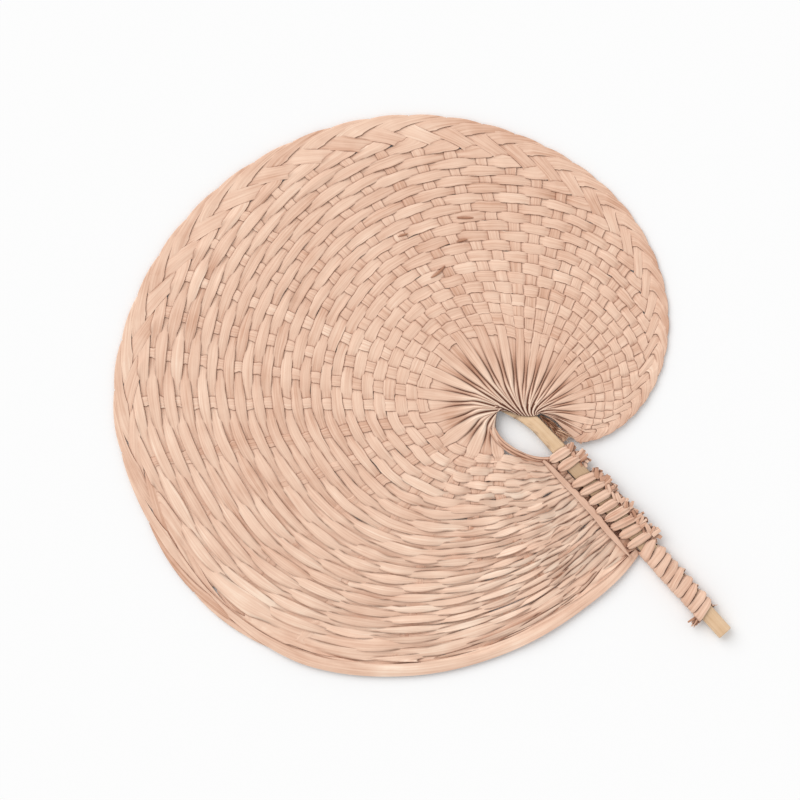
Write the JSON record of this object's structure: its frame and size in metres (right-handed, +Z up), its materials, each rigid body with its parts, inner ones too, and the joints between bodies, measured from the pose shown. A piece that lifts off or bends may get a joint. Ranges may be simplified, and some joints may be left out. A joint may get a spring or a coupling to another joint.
{
  "type": "palm leaf fan",
  "caption": "Flat spiral hand fan plaited from one split fan-palm leaf, tied back to its own stalk, which has a wound grip and a gap beside it for a finger or peg.",
  "frame": {"origin": "under the middle of the fan's bounding box, on the surface it lies on", "axes": "+Z up from that surface through the blade, +Y along the stalk from its cut end towards the blade, +X to the side of the small lobe"},
  "size_m": [0.3474, 0.4022, 0.0091],
  "materials": {
    "leaf": "dried palm leaf, matt with a faint silky sheen along the fibres",
    "stalk": "smooth dried leaf stalk, satin",
    "rib": "split leaf rib, satin",
    "web": "dry brown leaf fibre, dull"
  },
  "bodies": {
    "root": {"gather_splint": "rib", "grip_winding": "leaf", "handle_stalk": "stalk", "lashing_01": "leaf", "lashing_02": "leaf", "lashing_03": "leaf", "lashing_04": "leaf", "lashing_05": "leaf", "lashing_06": "leaf", "lashing_07": "leaf", "lashing_08": "leaf", "lashing_09": "leaf", "lashing_10": "leaf", "leaf_segment_01": "leaf", "leaf_segment_02": "leaf", "leaf_segment_03": "leaf", "leaf_segment_04": "leaf", "leaf_segment_05": "leaf", "leaf_segment_06": "leaf", "leaf_segment_07": "leaf", "leaf_segment_08": "leaf", "leaf_segment_09": "leaf", "leaf_segment_10": "leaf", "leaf_segment_11": "leaf", "leaf_segment_12": "leaf", "leaf_segment_13": "leaf", "leaf_segment_14": "leaf", "leaf_segment_15": "leaf", "leaf_segment_16": "leaf", "leaf_segment_17": "leaf", "leaf_segment_18": "leaf", "leaf_segment_19": "leaf", "leaf_segment_20": "leaf", "leaf_segment_21": "leaf", "leaf_segment_22": "leaf", "leaf_segment_23": "leaf", "leaf_segment_24": "leaf", "leaf_segment_25": "leaf", "leaf_segment_26": "leaf", "leaf_segment_27": "leaf", "leaf_segment_28": "leaf", "leaf_segment_29": "leaf", "leaf_segment_30": "leaf", "leaf_segment_31": "leaf", "leaf_segment_32": "leaf", "leaf_segment_33": "leaf", "leaf_segment_34": "leaf", "leaf_segment_35": "leaf", "leaf_segment_36": "leaf", "leaf_segment_37": "leaf", "leaf_segment_38": "leaf", "leaf_segment_39": "leaf", "leaf_segment_40": "leaf", "leaf_segment_41": "leaf", "leaf_segment_42": "leaf", "leaf_segment_43": "leaf", "leaf_segment_44": "leaf", "web_fibre": "web"}
  },
  "joints": []
}
